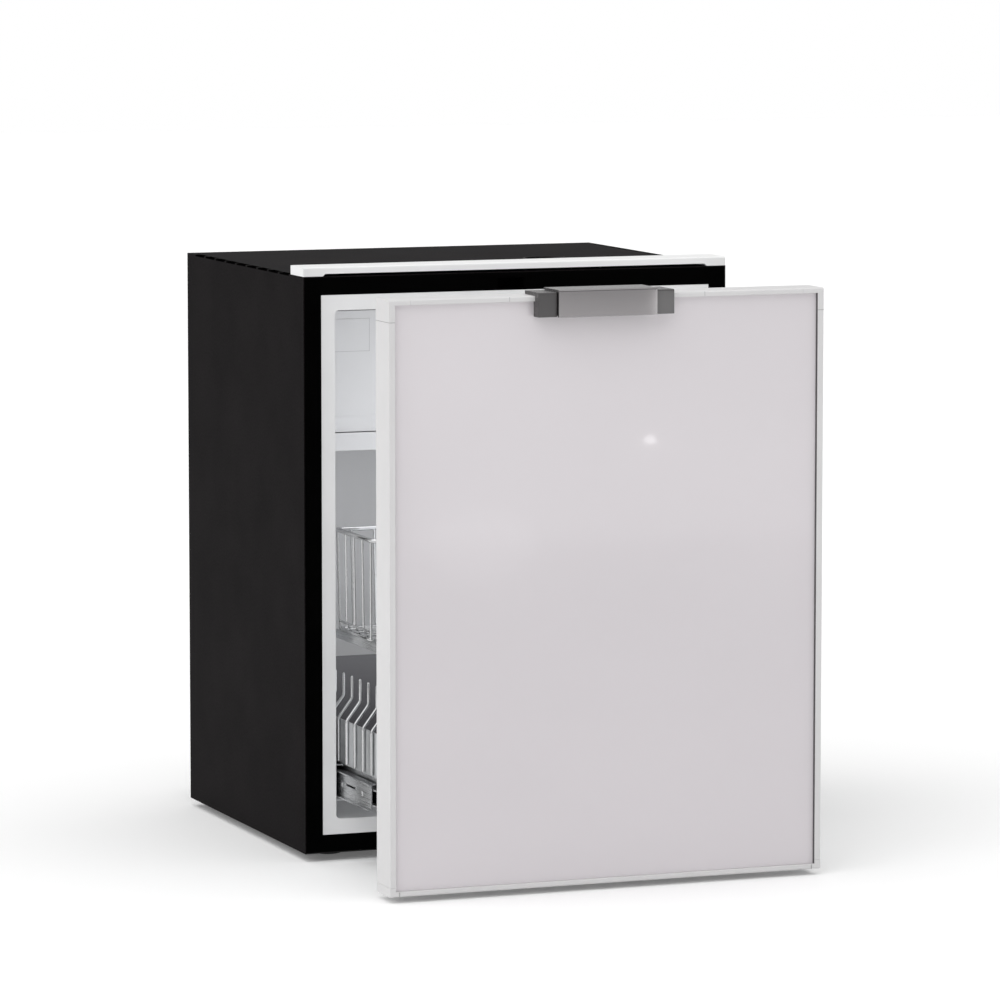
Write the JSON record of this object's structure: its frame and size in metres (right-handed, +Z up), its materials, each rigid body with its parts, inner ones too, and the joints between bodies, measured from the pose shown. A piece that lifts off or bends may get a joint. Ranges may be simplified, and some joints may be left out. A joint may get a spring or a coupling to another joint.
{
  "type": "drawer refrigerator",
  "caption": "Small built-in drawer refrigerator: insulated cabinet, pull-out front with wire baskets on telescopic runners, top latch, freezer box and rear cooling unit.",
  "frame": {"origin": "on the floor, under the middle of the cabinet", "axes": "+Z up, -Y towards the drawer front, +X to the right of a person who faces the drawer"},
  "size_m": [0.44, 0.71, 0.578],
  "materials": {
    "black_steel": "fine textured black paint",
    "black_border": "satin black",
    "foam": "cut foam",
    "white_liner": "satin white",
    "white_trim": "satin white",
    "white_profile": "white powder coat",
    "panel_gloss": "high gloss light grey",
    "rubber": "matte",
    "gasket": "soft matte",
    "steel": "bright zinc plate",
    "dark_steel": "satin",
    "chrome_wire": "bright chrome",
    "latch_metal": "satin metallic grey",
    "latch_cap": "satin dark grey",
    "bare_aluminium": "bare sheet",
    "lens": "frosted",
    "unit_black": "satin black",
    "black_plastic": "fine moulded texture",
    "guard_wire": "black coated wire",
    "terminal_blue": "moulded",
    "copper": "drawn tube, slightly dull"
  },
  "bodies": {
    "cabinet": {"outer_case": "black_steel", "base_plate": "black_steel", "rear_panel": "black_steel", "front_border": "black_border", "cabinet_insulation": "foam", "inner_liner": "white_liner", "top_trim_bar": "white_trim", "top_recess_cup": "black_border", "rubber_feet": "rubber", "latch_keeper": "black_plastic", "evaporator": "bare_aluminium", "freezer_frame": "white_liner", "drip_tray": "white_liner", "thermostat_housing": "white_liner", "lamp_lens": "lens", "runner_cabinet_members": "steel", "runner_screws": "steel", "unit_tray": "unit_black", "compressor": "unit_black", "compressor_grommets": "rubber", "control_box": "black_plastic", "terminal_block": "terminal_blue", "condenser_tube": "copper", "condenser_fins": "bare_aluminium", "fan_shroud": "black_plastic", "fan_motor": "black_plastic", "fan_guard": "guard_wire", "filter_drier": "copper", "refrigerant_pipes": "copper", "unit_screws": "steel"},
    "drawer": {"front_panel": "panel_gloss", "top_profile": "white_profile", "bottom_profile": "white_profile", "side_profiles": "white_profile", "corner_pieces": "white_profile", "front_insulation": "foam", "front_inner_skin": "white_liner", "door_gasket": "gasket", "frame_screws": "steel", "latch_caps": "latch_cap", "latch_spring": "steel", "runner_drawer_members": "steel", "drawer_side_frames": "steel", "bin_tray": "steel", "bin_side_wires": "chrome_wire", "bin_rear_plate": "dark_steel", "upper_rails": "steel", "rear_posts": "steel", "upper_basket": "chrome_wire", "basket_divider": "chrome_wire"},
    "runner_left": {"runner_middle_left": "steel", "runner_balls_left": "steel"},
    "runner_right": {"runner_middle_right": "steel", "runner_balls_right": "steel"},
    "latch": {"latch_bar": "latch_metal", "latch_hook": "steel"},
    "flap": {"freezer_flap": "white_liner"},
    "knob": {"thermostat_knob": "white_liner"},
    "rotor": {"fan_rotor": "black_plastic"}
  },
  "joints": [
    {"name": "drawer_slide", "type": "slide", "parent": "cabinet", "child": "drawer", "axis": [0, -1, 0], "range_m": [-0.194, 0.106]},
    {"name": "runner_left_slide", "type": "slide", "parent": "cabinet", "child": "runner_left", "axis": [0, -1, 0], "range_m": [-0.097, 0.053]},
    {"name": "runner_right_slide", "type": "slide", "parent": "cabinet", "child": "runner_right", "axis": [0, -1, 0], "range_m": [-0.097, 0.053]},
    {"name": "latch_lift", "type": "hinge", "parent": "drawer", "child": "latch", "pos_m": [-0.0065, -0.398, 0.5659], "axis": [-1, 0, 0], "range_deg": [0, 10], "stiffness_Nm_per_rad": 0.4, "springref_deg": -5.73, "deforming": ["latch_spring"]},
    {"name": "flap_swing", "type": "hinge", "parent": "cabinet", "child": "flap", "pos_m": [0, -0.0365, 0.5195], "axis": [-1, 0, 0], "range_deg": [0, 80]},
    {"name": "knob_turn", "type": "hinge", "parent": "cabinet", "child": "knob", "pos_m": [0.172, 0, 0.36], "axis": [0, -1, 0], "range_deg": [0, 290]},
    {"name": "fan_spin", "type": "hinge", "parent": "cabinet", "child": "rotor", "pos_m": [0.089, 0.24, 0.1095], "axis": [0, 1, 0], "continuous": true}
  ],
  "couplings": [
    {"joint": "runner_left_slide", "follows": "drawer_slide", "ratio": 0.5},
    {"joint": "runner_right_slide", "follows": "drawer_slide", "ratio": 0.5}
  ]
}
